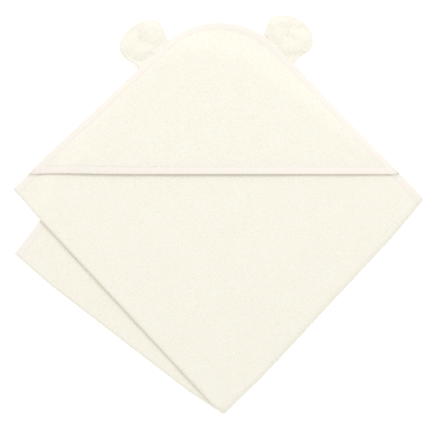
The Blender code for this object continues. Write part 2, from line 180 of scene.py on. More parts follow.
painted_shade_share = add_node(
    tree,
    "ShaderNodeMapRange",
    {"Value": depth.outputs["Value"], "From Min": 0.30, "From Max": 1.20, "To Min": 0.0, "To Max": 1.0},
)
terry_colour = add_node(
    tree,
    "ShaderNodeMix",
    {"Factor": painted_shade_share.outputs["Result"], "A": TERRY_LIGHT, "B": TERRY_PAINTED_SHADE},
    data_type="RGBA",
)
tree.links.new(terry_colour.outputs["Result"], shader.inputs["Base Color"])
tree.links.new(pile_bump.outputs["Normal"], shader.inputs["Normal"])
shader.inputs["Sheen Weight"].default_value = 0.18
shader.inputs["Sheen Roughness"].default_value = 0.6
shader.inputs["Specular IOR Level"].default_value = 0.15
print("terry loops", LOOP * 1000, "mm")

# %% [markdown]
# ## Cotton tape, thread, wadding and label
#
# The edge tape is a fine cotton twill, a touch warmer than the terry. Its diagonal ribs are about half a
# millimetre apart; they are drawn twice as coarse so that they show. The rib pattern follows the tape's
# own flat coordinates, which a UV map keeps in metres. The thread is twisted, the wadding is a mat of
# fine fibres, and the label is a smooth woven satin.

# %% Tape material
RIB = 0.0011
tape_cloth, tree, shader = new_material("cotton_twill_tape", 0.85)
flat = add_node(tree, "ShaderNodeUVMap", uv_map="flat").outputs["UV"]
slanted = add_node(
    tree,
    "ShaderNodeMapping",
    {"Vector": flat, "Rotation": (0, 0, radians(45)), "Scale": (1 / RIB, 1 / RIB, 1)},
)
ribs = add_node(
    tree,
    "ShaderNodeTexWave",
    {"Vector": slanted.outputs["Vector"], "Scale": 0.314, "Distortion": 0.6, "Detail": 1.0},
    wave_profile="SIN",
)
rib_bump = add_node(
    tree, "ShaderNodeBump", {"Height": ribs.outputs["Fac"], "Distance": 0.00022, "Strength": 0.6}
)
rib_colour = add_node(
    tree,
    "ShaderNodeMix",
    {"Factor": ribs.outputs["Fac"], "A": linear("F4EDE3"), "B": linear("FAF4ED")},
    data_type="RGBA",
)
tree.links.new(rib_colour.outputs["Result"], shader.inputs["Base Color"])
tree.links.new(rib_bump.outputs["Normal"], shader.inputs["Normal"])
shader.inputs["Sheen Weight"].default_value = 0.1
shader.inputs["Specular IOR Level"].default_value = 0.2


# %% Thread, wadding and label materials
def grained(name, roughness, light, dark, scale, bump):
    """A material whose colour and height follow one fine noise."""
    made, tree, shader = new_material(name, roughness)
    place = add_node(tree, "ShaderNodeTexCoord").outputs["Object"]
    grain = add_node(tree, "ShaderNodeTexNoise", {"Vector": place, "Scale": 1 / scale, "Detail": 3.0})
    colour = add_node(
        tree,
        "ShaderNodeMix",
        {"Factor": grain.outputs["Fac"], "A": linear(light), "B": linear(dark)},
        data_type="RGBA",
    )
    height = add_node(
        tree, "ShaderNodeBump", {"Height": grain.outputs["Fac"], "Distance": bump, "Strength": 0.5}
    )
    tree.links.new(colour.outputs["Result"], shader.inputs["Base Color"])
    tree.links.new(height.outputs["Normal"], shader.inputs["Normal"])
    return made


thread = grained("twisted_polyester_thread", 0.5, "F4EBDB", "E4D8C2", 0.0006, 0.0001)
wadding = grained("polyester_wadding", 1.0, "FAFAF8", "E6E6E2", 0.0009, 0.0005)
satin = grained("woven_label_satin", 0.4, "FBFAF7", "F1EFEA", 0.0005, 0.00005)

# %% [markdown]
# ## Floor
#
# The table is much larger than the towel, so that its edge never shows.

# %% Floor
FLOOR_SIZE = 6.0
table, tree, shader = new_material("white_table", 0.9)
shader.inputs["Base Color"].default_value = linear("F4F4F4")
shader.inputs["Emission Color"].default_value = (1, 1, 1, 1)
shader.inputs["Emission Strength"].default_value = 0.35
bpy.ops.object.select_all(action="DESELECT")
bpy.ops.mesh.primitive_plane_add(size=FLOOR_SIZE, location=(0, 0, 0))
floor = bpy.context.object
floor.name = "floor"
floor.data.materials.append(table)

# %% [markdown]
# ## Measures
#
# These are the cutting and folding sizes of the towel, in metres. The two halves of the bundle are
# drawn in a frame of their own: x runs from the first fold into the cloth, and y along that fold. The
# back half is turned a little, which is why its corner peeps out at the left.

# %% Measures
TERRY = 0.0034
INNER_GAP = 0.0009
MIDDLE_GAP = 0.0006
TOUCH = 0.0003
HALF_SIDE = 0.350
FRONT_FOLD = 0.374
BACK_FOLD = 0.320
FRONT_HEM = 0.349
OUT_OF_SQUARE = radians(0.95)
FRONT_ANGLE = radians(43.0)
BACK_TURN = radians(9.4)
CORNER_RADIUS = 0.093
CORNER_STEPS = 24
LIP_HEIGHT = 0.2915
TAPE_WIDTH = 0.010

MIDDLE = 2 * TERRY + INNER_GAP + MIDDLE_GAP / 2
INNER_LEVEL = MIDDLE_GAP / 2 + TERRY / 2
OUTER_LEVEL = INNER_LEVEL + TERRY + INNER_GAP
BEND = (OUTER_LEVEL - INNER_LEVEL) / 2
BEND_LEVEL = (OUTER_LEVEL + INNER_LEVEL) / 2
BEND_CENTRE = BEND + TERRY / 2
BEND_RUN = pi / 2 * BEND
FLAT_SHIFT = BEND_CENTRE - BEND_RUN
CREASE_REACH = MIDDLE
CREASE_LEAD = 0.0030
PANEL_END = CREASE_REACH + CREASE_LEAD
FRONT_TOP = MIDDLE + OUTER_LEVEL + TERRY / 2
HOOD_LEVEL = FRONT_TOP + TOUCH + TERRY / 2
print("bundle", round(FRONT_TOP * 1000, 1), "mm thick")


# %% Plan geometry
def direction(angle):
    return np.array([cos(angle), sin(angle)])


def unit(vector):
    return vector / np.linalg.norm(vector)


def left_of(vector):
    return np.array([-vector[1], vector[0]])


def turned(points, angle):
    """Points, or one point, turned about the origin."""
    c, s = cos(angle), sin(angle)
    return np.asarray(points) @ np.array([[c, s], [-s, c]])


def meet(line, other):
    """Where two lines cross; a line is a point and a direction."""
    (p, d), (q, e) = line, other
    return p + d * np.linalg.solve(np.array([d, -e]).T, q - p)[0]


def smooth(share):
    """From 0 to 1 without a corner at either end."""
    share = np.clip(share, 0, 1)
    return share * share * (3 - 2 * share)


def distance_to(points, line):
    """Each point's distance to a chain of straight pieces."""
    nearest = np.full(len(points), 1e9)
    for a, b in zip(line[:-1], line[1:]):
        along = b - a
        share = np.clip(((points - a) @ along) / (along @ along), 0, 1)
        nearest = np.minimum(nearest, np.linalg.norm(points - a - share[:, None] * along, axis=1))
    return nearest


# %% [markdown]
# ## The two halves
#
# A half is described by its two hems and the crease that ends it. One function gives the hem at any
# distance in from the edge, from one cutting line to another and round the corner between them. The
# cloth, the tape and the stitches all follow it, so they stay parallel.


# %% Halves
def make_half(angle, fold_length, crease_point, side):
    fold_end = np.array([0, fold_length])
    corner = np.array([HALF_SIDE, fold_length])
    return {
        "angle": angle,
        "side": side,
        "hem": ((fold_end, unit(corner - fold_end)), (crease_point, unit(corner - crease_point))),
        "crease": unit(crease_point),
    }


FRONT_CREASE_POINT = np.array([HALF_SIDE, FRONT_FOLD]) + FRONT_HEM * np.array(
    [sin(OUT_OF_SQUARE), -cos(OUT_OF_SQUARE)]
)
FRONT = make_half(FRONT_ANGLE, FRONT_FOLD, FRONT_CREASE_POINT, 1)
BACK = make_half(FRONT_ANGLE + BACK_TURN, BACK_FOLD, turned(FRONT_CREASE_POINT, -BACK_TURN), -1)


def crease_line(half, inset):
    return left_of(half["crease"]) * inset, half["crease"]


def fold_line(x):
    return np.array([x, 0.0]), np.array([0.0, 1.0])


def lip_line(up):
    """A level line above the lip, in the front half's frame."""
    return turned((0, LIP_HEIGHT + up), -FRONT_ANGLE), direction(-FRONT_ANGLE)


def hem_line(half, inset, start, end):
    """The hem moved in by inset, from the line start, round the corner, to the line end."""
    (a, along), (b, back) = half["hem"]
    first = a - left_of(along) * inset, along
    second = b + left_of(back) * inset, back
    corner = meet(first, second)
    middle = unit(-along - back)
    slope = float(np.arccos(middle @ -along))
    radius = CORNER_RADIUS - inset
    centre = corner + middle * radius / sin(slope)
    spoke = left_of(along) * radius
    sweep = pi - 2 * slope
    arc = [centre + turned(spoke, -sweep * k / CORNER_STEPS) for k in range(CORNER_STEPS + 1)]
    return np.array([meet(first, start), *arc, meet(second, end)])


def to_row(half, points):
    """From a half's own plan to the row frame's plan."""
    return turned(points, half["angle"]) + BOTTOM_CORNER


# %% [markdown]
# ## How the cloth lies
#
# Where the back half doesn't reach, the front half has nothing under it and droops onto the table. A
# function of the place gives this droop, and every front piece uses it, so the layers stay together.
# A slow ripple of about half a millimetre keeps the top from looking like a board; it fades towards the
# table. The hood stands off the towel most at the middle of its lip, and not at all along its seams. Where
# it stands off, the ripple below no longer shows in it.

# %% Droop, ripple and dome
DROOP = 0.0080
DROOP_RUN = 0.034
DOME = 0.0018
RIPPLES = (
    (0.00020, 61, 23, 0.4),
    (0.00016, -37, 71, 1.9),
    (0.00010, 97, -83, 0.7),
    (0.00012, 19, -45, 2.6),
)

BACK_OUTLINE = to_row(
    BACK, np.vstack([hem_line(BACK, 0, fold_line(0), crease_line(BACK, 0)), [[0, 0]], [[0, BACK_FOLD]]])
)


def droop(plan):
    """How far the front half hangs below level at each place."""
    inside = np.ones(len(plan), bool)
    for a, b in zip(BACK_OUTLINE[:-1], BACK_OUTLINE[1:]):
        if np.linalg.norm(b - a) > 1e-9:
            inside &= (plan - a) @ left_of(unit(b - a)) <= 0
    gap = np.where(inside, 0, distance_to(plan, BACK_OUTLINE))
    return DROOP * smooth(gap / DROOP_RUN)


def ripple(plan):
    x, y = plan.T
    return sum(size * np.sin(a * x + b * y + start) for size, a, b, start in RIPPLES)


LEGS = [(to_row(FRONT, point), turned(along, FRONT_ANGLE)) for point, along in FRONT["hem"]]
LIP_ENDS = [to_row(FRONT, meet(leg, lip_line(0))) for leg in FRONT["hem"]]
LIP_MIDDLE = (LIP_ENDS[0] + LIP_ENDS[1]) / 2
LIP_Y = LIP_MIDDLE[1]
BOW_FADE = 0.090
BOW_START = 0.2
SIDES = (
    (to_row(FRONT, FRONT_CREASE_POINT), BOTTOM_CORNER, 0.0030, "both"),
    (to_row(FRONT, (0, FRONT_FOLD)), to_row(FRONT, (HALF_SIDE, FRONT_FOLD)), 0.0020, "front"),
    (BOTTOM_CORNER, to_row(BACK, (0, BACK_FOLD)), 0.0032, "back"),
)


def dome(plan):
    """The hood's height over its seams, before the droop."""
    shares = []
    for point, along in LEGS:
        normal = left_of(along)
        shares.append(np.abs((plan - point) @ normal) / abs((LIP_MIDDLE - point) @ normal) + 1e-6)
    share = np.sqrt(2) / np.sqrt(1 / shares[0] ** 2 + 1 / shares[1] ** 2)
    return DOME * (1 - (1 - np.clip(share, 0, 1)) ** 1.5)


def bow(plan, hangs):
    """The long sides of a soft bundle bulge outwards a little between its corners."""
    moved = plan.copy()
    for start, end, size, layers in SIDES:
        if layers == "both" or (layers == "front") == hangs:
            along, length = unit(end - start), np.linalg.norm(end - start)
            share, inset = (plan - start) @ along / length, -(plan - start) @ left_of(along)
            ends = smooth(share / BOW_START) * smooth((1 - share) / BOW_START)
            push = size * ends * (1 - smooth(inset / BOW_FADE))
            moved += push[:, None] * left_of(along)
    return moved


def lie(plan, height, hangs, calm=0.0):
    """Settles points of a layer at this height onto the pile below, whose ripples show through it."""
    settled = height - (droop(plan) if hangs else 0)
    return np.column_stack([bow(plan, hangs), settled + ripple(plan) * (1 - calm) * settled / FRONT_TOP])


def fold(half, flat):
    """Where points of the flat cloth lie once folded: across the first fold, along it, and off centre."""
    across, along, off = flat.T
    turn = np.clip(across / BEND_RUN, -1, 1) * pi / 2
    radius = BEND + off
    x = BEND_CENTRE - radius * np.cos(turn) + np.maximum(np.abs(across) - BEND_RUN, 0)
    level = BEND_LEVEL + radius * np.sin(turn)
    return lie(to_row(half, np.column_stack([x, along])), MIDDLE + half["side"] * level, half is FRONT)


print("lip at", np.round(LIP_ENDS, 4).tolist())


# %% [markdown]
# ## Helpers for meshes
#
# Cloth starts as a flat grid, cut at its real size. The grid is trimmed along its outline with the bisect
# tool, one straight cut at a time, the way scissors go round a pattern. Its flat coordinates are kept in
# a UV map, and then every vertex is moved to where the folded cloth lies.


# %% Grids, cuts and vertex moves
SLIVER = 0.0004


def points_of(obj):
    places = np.empty(len(obj.data.vertices) * 3)
    obj.data.vertices.foreach_get("co", places)
    return places.reshape(-1, 3)


def move_points(obj, places):
    obj.data.vertices.foreach_set("co", np.ascontiguousarray(places, dtype=np.float32).ravel())
    obj.data.update()


def flat_grid(name, low, high, step):
    """A flat sheet of nearly square faces between two corners."""
    bpy.ops.object.select_all(action="DESELECT")
    size, middle = np.subtract(high, low), np.add(high, low) / 2
    rows, columns = (max(1, int(round(s / t))) for s, t in zip(size, step))
    bpy.ops.mesh.primitive_grid_add(x_subdivisions=rows, y_subdivisions=columns, size=1, enter_editmode=True)
    bpy.ops.transform.resize(value=(*size, 1), center_override=(0, 0, 0))
    bpy.ops.transform.translate(value=(*middle, 0))
    bpy.ops.object.mode_set(mode="OBJECT")
    made = bpy.context.object
    made.name = made.data.name = name
    made.data.uv_layers[0].name = "flat"
    return made


def strip_grid(name, runs, crosses):
    """A flat strip with its vertices at these distances along and across."""
    made = flat_grid(name, (0, 0), (len(runs) - 1, len(crosses) - 1), (1, 1))
    index = np.rint(points_of(made)[:, :2]).astype(int)
    flat = np.column_stack([runs[index[:, 0]], crosses[index[:, 1]], np.zeros(len(index))])
    move_points(made, flat)
    keep_flat(made)
    return made, flat


def cut(point, normal, remove):
    """A straight cut across the sheet in edit mode; what lies on the normal's side goes, if asked."""
    bpy.ops.mesh.select_all(action="SELECT")
    bpy.ops.mesh.bisect(plane_co=(*point, 0), plane_no=(*normal, 0), clear_outer=remove, threshold=1e-6)


def trim(obj, outline):
    """Cuts away what lies outside an outline that runs clockwise."""
    bpy.ops.object.mode_set(mode="EDIT")
    for a, b in zip(outline[:-1], outline[1:]):
        cut(a, left_of(unit(b - a)), True)
    bpy.ops.mesh.select_all(action="SELECT")
    bpy.ops.mesh.remove_doubles(threshold=SLIVER)
    bpy.ops.object.mode_set(mode="OBJECT")


def keep_flat(obj):
    """Stores the flat sheet's own coordinates, in metres, for patterns that follow the cloth."""
    corners = np.empty(len(obj.data.loops), int)
    obj.data.loops.foreach_get("vertex_index", corners)
    flat = points_of(obj)[corners, :2].astype(np.float32)
    obj.data.uv_layers["flat"].data.foreach_set("uv", flat.ravel())


def flat_cut(obj):
    """A flat sheet's size as cut, and its area."""
    size = points_of(obj)[:, :2].max(axis=0) - points_of(obj)[:, :2].min(axis=0)
    return {"flat": tuple(size), "area": sum(face.area for face in obj.data.polygons)}


def apply_modifier(obj, kind, **settings):
    """Adds a modifier and applies it at once."""
    bpy.ops.object.select_all(action="DESELECT")
    obj.select_set(True)
    bpy.context.view_layer.objects.active = obj
    step = obj.modifiers.new(kind.lower(), kind)
    for name, value in settings.items():
        setattr(step, name, value)
    bpy.ops.object.modifier_apply(modifier=step.name)


def sharpen_rim(obj):
    """Marks the sheet's outer edges sharp, so that its faces shade flat right up to them."""
    edges = np.empty(len(obj.data.loops), int)
    obj.data.loops.foreach_get("edge_index", edges)
    outer = np.bincount(edges, minlength=len(obj.data.edges)) == 1
    obj.data.attributes.new("sharp_edge", "BOOLEAN", "EDGE").data.foreach_set("value", outer)


def thicken(obj, thickness, shares=None):
    """Gives a sheet its thickness, equally to both sides; shares thin it at some vertices."""
    wall = obj.modifiers.new("wall", "SOLIDIFY")
    wall.thickness = thickness
    wall.offset = 0
    if shares is not None:
        group = obj.vertex_groups.new(name="pile")
        for index, share in enumerate(shares):
            group.add([index], float(share), "REPLACE")
        wall.vertex_group = "pile"
        wall.thickness_vertex_group = 0.0


def finish_cloth(obj, material):
    obj.data.materials.clear()
    obj.data.materials.append(material)
    obj.data.shade_smooth()
    print(obj.name, len(obj.data.polygons), "faces")


# %% [markdown]
# ## The folded square
#
# On the real towel this is one square of terry. Each half of the bundle is two layers joined by the first
# fold, so one layer is trimmed and then mirrored about the fold. The rolled fold is soft, so the grid
# gets extra rows there. Under the tape the loops are crushed, and the cloth is thinner.

# %% Terry of the two halves
CLOTH_STEP = 0.0042
HEM_IN = 0.0012
CRUSHED = 0.55
CRUSH_LEAD = 0.0022
CRUSH_RUN = 0.0042
BEND_ROWS = 4


def crush(inset):
    """The share of its thickness that terry keeps at a distance from the hem."""
    return CRUSHED + (1 - CRUSHED) * smooth((inset - TAPE_WIDTH + CRUSH_LEAD) / CRUSH_RUN)


def make_terry(name, half):
    end = crease_line(half, PANEL_END)
    outline = hem_line(half, HEM_IN, fold_line(FLAT_SHIFT), end) - [FLAT_SHIFT, 0]
    outline = np.vstack([outline, [meet(fold_line(FLAT_SHIFT), end) - [FLAT_SHIFT, 0]]])
    low, high = (0.0, outline[:, 1].min()), outline.max(axis=0)
    sheet = flat_grid(name, low, high, (CLOTH_STEP, CLOTH_STEP))
    trim(sheet, outline)
    bpy.ops.object.mode_set(mode="EDIT")
    for k in range(1, BEND_ROWS + 1):
        cut((BEND_RUN * k / BEND_ROWS, 0), (1, 0), False)
    bpy.ops.object.mode_set(mode="OBJECT")
    apply_modifier(sheet, "MIRROR", use_clip=True, merge_threshold=0.0002)
    keep_flat(sheet)
    cut_size = flat_cut(sheet)
    flat = points_of(sheet)
    edge = hem_line(half, 0, fold_line(FLAT_SHIFT), crease_line(half, 0)) - [FLAT_SHIFT, 0]
    inset = distance_to(np.abs(flat[:, :2]) * [1, 0] + flat[:, :2] * [0, 1], edge)
    move_points(sheet, fold(half, flat))
    thicken(sheet, TERRY, crush(inset))
    finish_cloth(sheet, terry)
    sharpen_rim(sheet)
    return sheet, cut_size


terry_front, front_cut = make_terry("terry_front", FRONT)
terry_back, back_cut = make_terry("terry_back", BACK)
print("cut sizes", front_cut, back_cut)

# %% [markdown]
# ## The crease
#
# The crease joins the two halves, and it has to bend when the back half opens. Each layer's share is a
# strip of terry that runs in a half circle from the front half to the back half. It starts level with the
# cloth it joins, so the shading runs on without a seam.

# %% Crease strips
CREASE_WORLD = turned(FRONT["crease"], FRONT_ANGLE)
CREASE_STEPS = 14


def column(half, share, side):
    """Where a share of the crease's length lies on a half's edge, folded."""
    end = crease_line(half, PANEL_END)
    length = hem_line(half, HEM_IN, fold_line(FLAT_SHIFT), end)[-1][0] - FLAT_SHIFT
    across = share * length
    point, along = end
    run = point[1] + (across + FLAT_SHIFT - point[0]) * along[1] / along[0]
    return fold(half, np.column_stack([side * across, run, np.zeros(len(share))]))


def crease_rule(share, wrap, level, side):
    """Places on the strip: a share along the crease, and a distance round it from the front half's edge."""
    start, finish = column(FRONT, share, side), column(BACK, share, side)
    bend = pi * level
    mix = (wrap / (bend + 2 * CREASE_LEAD))[:, None]
    middle = start * (1 - mix) + finish * mix
    turn = np.clip((wrap - CREASE_LEAD) / level, 0, pi)
    inside = np.maximum(CREASE_LEAD - wrap, 0) + np.maximum(wrap - CREASE_LEAD - bend, 0)
    rise = (start[:, 2] - finish[:, 2]) / 2
    out = -left_of(CREASE_WORLD) * (CREASE_LEAD - inside + rise * np.sin(turn))[:, None]
    height = (start[:, 2] + finish[:, 2]) / 2 + rise * np.cos(turn)
    return np.column_stack([middle[:, :2] + out, height])


def crease_wraps(level):
    """Rows across the strip: a level one at each end, and the bend in even steps between them."""
    bend = CREASE_LEAD + np.linspace(0, pi * level, CREASE_STEPS + 1)
    return np.concatenate([[0], bend, [pi * level + 2 * CREASE_LEAD]])


def make_crease(name, side, level):
    """One layer's strip; its flat length runs along the crease."""
    length = np.linalg.norm(FRONT_CREASE_POINT)
    strip, flat = strip_grid(name, np.linspace(0, length, int(length / CLOTH_STEP)), crease_wraps(level))
    inset = length - flat[:, 0]
    move_points(strip, crease_rule(flat[:, 0] / length, flat[:, 1], level, side))
    thicken(strip, TERRY, crush(inset))
    finish_cloth(strip, terry)
    sharpen_rim(strip)
    return strip


crease_outer = make_crease("terry_crease_outer", 1, OUTER_LEVEL)
crease_inner = make_crease("terry_crease_inner", -1, INNER_LEVEL)

# %% [markdown]
# ## Edge tape
#
# A strip of twill is folded over the raw hem and sewn through, ten millimetres in. Its cross-section is
# a U: two flat flanges and a round edge, with a shallow groove where the thread pulls it into the pile.
# One strip goes right round both layers of a half, through the first fold. Along the hood's two sewn
# sides it also takes in the hood, so its upper flange climbs over the hood's edge there.

# %% Strips
TAPE_HALF = 0.00125
TAPE_THICK = 0.0005
STITCH_INSET = 0.0086
GROOVE = 0.0003
TAPE_LAP = 0.0009
CLIMB_LEAD = 0.003
CLIMB_RUN = 0.008
FLANGE = (0.010, 0.0094, 0.0086, 0.0078, 0.0062, 0.0040, 0.0022)
EDGE_TURNS = (75, 50, 25)
HOOD_OVER_FRONT = HOOD_LEVEL - MIDDLE - OUTER_LEVEL


def groove(inset):
    return GROOVE * np.exp(-(((inset - STITCH_INSET) / 0.0008) ** 2))


def hem_chain(half, inset=0.0):
    """The hem of both layers, flat, from the inner layer's crease through the first fold to the outer's."""
    end = crease_line(half, PANEL_END - TAPE_LAP)
    edge = hem_line(half, inset, fold_line(FLAT_SHIFT), end) - [FLAT_SHIFT, 0]
    return np.vstack([edge[:0:-1] * [-1, 1], edge])


def walk(chain, runs):
    """Points at these distances along a chain, and the inward direction at each."""
    steps = np.concatenate([[0], np.cumsum(np.linalg.norm(np.diff(chain, axis=0), axis=1))])

    def at(run):
        return np.column_stack([np.interp(run, steps, chain[:, k]) for k in (0, 1)])

    reach = 0.002
    ahead = at(np.clip(runs + reach, 0, steps[-1])) - at(np.clip(runs - reach, 0, steps[-1]))
    ahead /= np.linalg.norm(ahead, axis=1)[:, None]
    return at(runs), np.column_stack([ahead[:, 1], -ahead[:, 0]])


def chain_length(chain):
    return np.linalg.norm(np.diff(chain, axis=0), axis=1).sum()


def tape_top(half, flat):
    """The tape's upper flange, off the middle of the layer it binds."""
    top = np.full(len(flat), TAPE_HALF)
    if half is FRONT:
        plan = to_row(half, np.column_stack([flat[:, 0] + FLAT_SHIFT, flat[:, 1]]))
        hooded = smooth((plan[:, 1] - LIP_Y + CLIMB_LEAD) / CLIMB_RUN) * (flat[:, 0] > 0)
        top += hooded * (HOOD_OVER_FRONT + dome(plan))
    return top


# %% Tape over the hems
TAPE_STEP = 0.0026
FOLD_ROWS = np.linspace(-0.005, 0.005, 13)
FOLD_ROOM = 0.0062


def make_tape(name, half):
    chain = hem_chain(half)
    length = chain_length(chain)
    bend = length / 2 + FOLD_ROWS
    rest = np.linspace(0, length, int(length / TAPE_STEP))
    runs = np.sort(np.concatenate([bend, rest[np.abs(rest - length / 2) > FOLD_ROOM]]))
    quarter = pi / 2 * TAPE_HALF
    flange = np.array(FLANGE) - TAPE_HALF + quarter
    edge = np.radians(EDGE_TURNS) * TAPE_HALF
    crosses = np.concatenate([-flange, -edge, [0], edge[::-1], flange[::-1]])
    strip, flat = strip_grid(name, runs, crosses)
    place, inward = walk(chain, flat[:, 0])
    turn = np.clip(flat[:, 1] / quarter, -1, 1) * pi / 2
    inset = TAPE_HALF * (1 - np.cos(turn)) + np.maximum(np.abs(flat[:, 1]) - quarter, 0)
    plan = place + inward * inset[:, None]
    top = tape_top(half, plan)
    off = (top - TAPE_HALF) / 2 + (top + TAPE_HALF) / 2 * np.sin(turn) - np.sign(turn) * groove(inset)
    move_points(strip, fold(half, np.column_stack([plan, off])))
    thicken(strip, TAPE_THICK)
    finish_cloth(strip, tape_cloth)
    sharpen_rim(strip)
    return strip


tape_front = make_tape("front_edge_tape", FRONT)
tape_back = make_tape("back_edge_tape", BACK)

# %% [markdown]
# ## Tape through the crease
#
# The tape runs on round the crease as well. There it has to bend with the terry, so it is a band of its
# own, laid on the middle of the cloth and thickened to both sides. Thickness shares round its edge and
# press in the stitch line.

# %% Crease tape
BAND_INSETS = np.array([0.0, 0.0004, 0.0010, 0.0025, 0.0050, 0.0074, 0.0080, 0.0086, 0.0092, 0.0100])
BAND_THICK = 2 * TAPE_HALF + TAPE_THICK


def band_shares(inset):
    """A band's thickness shares: rounded at the edge, pressed in at the stitches."""
    rounded = 0.45 + 0.55 * np.sqrt(np.clip(inset / 0.0011, 0, 1))
    return rounded - 2 * groove(inset) / BAND_THICK


def make_crease_tape(name, side, level):
    length = np.linalg.norm(FRONT_CREASE_POINT)
    strip, flat = strip_grid(name, BAND_INSETS, crease_wraps(level))
    share = (length + HEM_IN - flat[:, 0]) / length
    move_points(strip, crease_rule(share, flat[:, 1], level, side))
    thicken(strip, BAND_THICK, band_shares(flat[:, 0]))
    finish_cloth(strip, tape_cloth)
    sharpen_rim(strip)
    return strip


crease_tape_outer = make_crease_tape("crease_tape_outer", 1, OUTER_LEVEL)
crease_tape_inner = make_crease_tape("crease_tape_inner", -1, INNER_LEVEL)

# %% [markdown]
# ## Hood
#
# The hood is a triangle of the same terry. It is cut flat with its lower rows level with the lip, laid
# over the top corner, and raised in the middle like the tent that it is. Its lip has the same tape,
# folded over it; the tape lies on the middle of the cloth.

# %% Terry of the hood
hood_cut = to_row(FRONT, hem_line(FRONT, HEM_IN, lip_line(HEM_IN), lip_line(HEM_IN)))
hood_cut = np.vstack([hood_cut, hood_cut[:1]])
terry_hood = flat_grid("terry_hood", hood_cut.min(axis=0), hood_cut.max(axis=0), (CLOTH_STEP, CLOTH_STEP))
trim(terry_hood, hood_cut)
keep_flat(terry_hood)
hood_size = flat_cut(terry_hood)


def on_hood(plan):
    raised = dome(plan)
    return lie(plan, HOOD_LEVEL + raised, True, smooth(3 * raised / DOME))


plan = points_of(terry_hood)[:, :2]
hood_hem = to_row(FRONT, hem_line(FRONT, 0, lip_line(0), lip_line(0)))
hood_inset = np.minimum(distance_to(plan, hood_hem), plan[:, 1] - LIP_Y)
move_points(terry_hood, on_hood(plan))
thicken(terry_hood, TERRY, crush(hood_inset))
finish_cloth(terry_hood, terry)
print("hood cut size", hood_size)

# %% Tape on the lip
LIP_STEP = 0.0026
LIP_END_GAP = 0.0016
lip_runs = np.arange(LIP_ENDS[0][0], LIP_ENDS[1][0], LIP_STEP)
lip_tape, flat = strip_grid("hood_lip_tape", lip_runs, BAND_INSETS)
squeeze = (flat[:, 0] - LIP_MIDDLE[0]) / (LIP_ENDS[1][0] - LIP_MIDDLE[0])
level_line = np.array([1.0, 0.0])
reach = [
    [abs(meet(leg, (LIP_MIDDLE + [0, up], level_line))[0] - LIP_MIDDLE[0]) for leg in LEGS]
    for up in BAND_INSETS
]
row = np.searchsorted(BAND_INSETS, flat[:, 1] - 1e-7)
half_width = np.array(reach)[row, (squeeze > 0).astype(int)] - LIP_END_GAP
plan = np.column_stack([LIP_MIDDLE[0] + squeeze * half_width, LIP_Y + flat[:, 1]])
move_points(lip_tape, on_hood(plan))
thicken(lip_tape, BAND_THICK, band_shares(flat[:, 1]))
finish_cloth(lip_tape, tape_cloth)

# %% [markdown]
# ## Stitching
#
# Every tape is held by one row of lockstitch, about nine stitches to the inch. A stitch is modelled once,
# as a small flat dash with round ends, and copied along each row. The dash lies on the middle of the
# cloth and is thickened through it, so its two faces just stand out of the tape, above and below.

# %% One stitch and its rows
STITCH = 0.0021
STITCH_PITCH = 0.0029
STITCH_WIDTH = 0.0006
STITCH_PROUD = 0.00020
FOLD_CLEAR = 0.0045
LIP_CLEAR = 0.014

bpy.ops.object.select_all(action="DESELECT")
bpy.ops.mesh.primitive_circle_add(vertices=8, radius=STITCH_WIDTH / 2, fill_type="NGON", enter_editmode=True)
bpy.ops.transform.resize(value=(0.75 * STITCH / STITCH_WIDTH, 1, 1), center_override=(0, 0, 0))
bpy.ops.mesh.inset(thickness=STITCH_WIDTH * 0.12, depth=0)
bpy.ops.object.mode_set(mode="OBJECT")
stitch = bpy.context.object
stitch.name = "stitch"


def repeat(name, obj, centres, along):
    """Copies of a small flat mesh at these places of the plane, each turned along its row."""
    base = points_of(obj)[:, :2]
    across = np.column_stack([-along[:, 1], along[:, 0]])
    places = centres[:, None] + base[None, :, :1] * along[:, None] + base[None, :, 1:] * across[:, None]
    flat = np.column_stack([places.reshape(-1, 2), np.zeros(len(centres) * len(base))])
    faces = [list(face.vertices) for face in obj.data.polygons]
    mesh = bpy.data.meshes.new(name)
    mesh.from_pydata(flat, [], [[v + k * len(base) for v in f] for k in range(len(centres)) for f in faces])
    made = bpy.data.objects.new(name, mesh)
    bpy.context.scene.collection.objects.link(made)
    return made, flat


def thread_through(obj, upper, lower):
    """Thickens each dash so that it reaches these heights above and below the middle of the cloth."""
    depth = upper + lower
    thicken(obj, depth.max(), depth / depth.max())
    finish_cloth(obj, thread)


def make_hem_stitches(name, half):
    chain = hem_chain(half)
    runs = np.arange(STITCH_PITCH, chain_length(chain) - STITCH_PITCH, STITCH_PITCH)
    runs = runs[np.abs(runs - chain_length(chain) / 2) > FOLD_CLEAR]
    place, inward = walk(chain, runs)
    centres = place + inward * STITCH_INSET
    row, flat = repeat(name, stitch, centres, np.column_stack([-inward[:, 1], inward[:, 0]]))
    top = tape_top(half, flat) - GROOVE + TAPE_THICK / 2 + STITCH_PROUD
    low = np.full(len(flat), TAPE_HALF - GROOVE + TAPE_THICK / 2 + STITCH_PROUD)
    flat[:, 2] = (top - low) / 2
    move_points(row, fold(half, flat))
    thread_through(row, top, low)
    return row


stitches_front = make_hem_stitches("front_edge_stitches", FRONT)
stitches_back = make_hem_stitches("back_edge_stitches", BACK)

# %% Lip stitches
lip_places = np.arange(LIP_ENDS[0][0] + LIP_CLEAR, LIP_ENDS[1][0] - LIP_CLEAR, STITCH_PITCH)
centres = np.column_stack([lip_places, np.full(len(lip_places), LIP_Y + STITCH_INSET)])
stitches_lip, flat = repeat("hood_lip_stitches", stitch, centres, np.tile([1.0, 0.0], (len(centres), 1)))
move_points(stitches_lip, on_hood(flat[:, :2]))
proud = np.full(len(flat), BAND_THICK / 2 - GROOVE + STITCH_PROUD)
thread_through(stitches_lip, proud, proud)
bpy.data.objects.remove(stitch)

